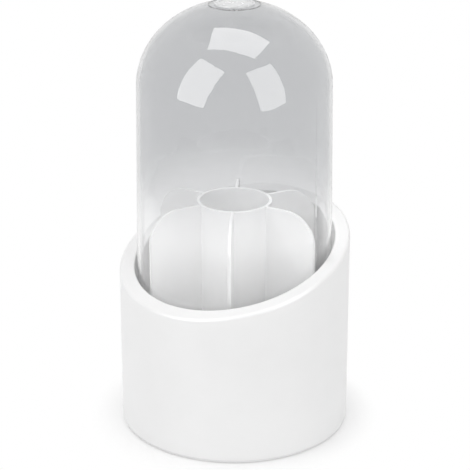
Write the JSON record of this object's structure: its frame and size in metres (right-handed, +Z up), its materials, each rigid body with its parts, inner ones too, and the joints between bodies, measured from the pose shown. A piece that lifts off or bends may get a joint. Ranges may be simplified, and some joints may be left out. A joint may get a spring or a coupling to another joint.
{
  "type": "rotating brush holder",
  "caption": "White cylindrical base with a slanted rim, a turning divider with a central tube and fins, and a clear lift-off dome.",
  "frame": {"origin": "centre of the base on the surface it stands on, at the bottom of the feet", "axes": "+Z up along the axis that the divider turns about; the low side of the slanted rim faces -Y"},
  "size_m": [0.1306, 0.1306, 0.2428],
  "materials": {
    "base_white": "white moulded shell, semi-gloss",
    "liner_white": "white moulded cup, satin",
    "cover_white": "white moulded cover, fine texture",
    "foot_rubber": "pale grey rubber, matt",
    "screw_steel": "zinc-plated steel",
    "race_steel": "pressed steel, bright zinc",
    "cage_plastic": "natural acetal, matt",
    "ball_steel": "polished steel",
    "pivot_steel": "zinc-plated steel",
    "bushing_plastic": "natural acetal, smooth",
    "tray_white": "white moulded tray, satin",
    "divider_frost": "frosted milky plastic, satin",
    "dome_clear": "clear polished plastic",
    "disc_clear": "clear polished plastic with a bright edge"
  },
  "bodies": {
    "base": {"outer_shell": "base_white", "inner_liner": "liner_white", "bottom_cover": "cover_white", "rubber_feet": "foot_rubber", "clamp_screws": "screw_steel", "lower_race": "race_steel", "lower_race_screws": "screw_steel", "pivot_bolt": "pivot_steel", "pivot_nut": "pivot_steel", "pivot_washer": "pivot_steel"},
    "cage": {"ball_cage": "cage_plastic", "bearing_balls": "ball_steel"},
    "insert": {"upper_race": "race_steel", "upper_race_screws": "screw_steel", "insert_tray": "tray_white", "divider": "divider_frost", "divider_screws": "screw_steel", "pivot_bushing": "bushing_plastic", "hub_cap": "tray_white"},
    "cover": {"dome": "dome_clear", "top_disc": "disc_clear", "disc_clip": "disc_clear"}
  },
  "joints": [
    {"name": "insert_spin", "type": "hinge", "parent": "base", "child": "insert", "pos_m": [0, 0, 0.0245], "axis": [0, 0, 1], "continuous": true},
    {"name": "cage_spin", "type": "hinge", "parent": "base", "child": "cage", "pos_m": [0, 0, 0.0215], "axis": [0, 0, 1], "continuous": true},
    {"name": "dome_lift", "type": "slide", "parent": "base", "child": "cover", "axis": [0, 0, 1], "range_m": [0, 0.1]}
  ],
  "couplings": [
    {"joint": "cage_spin", "follows": "insert_spin", "ratio": 0.5}
  ]
}
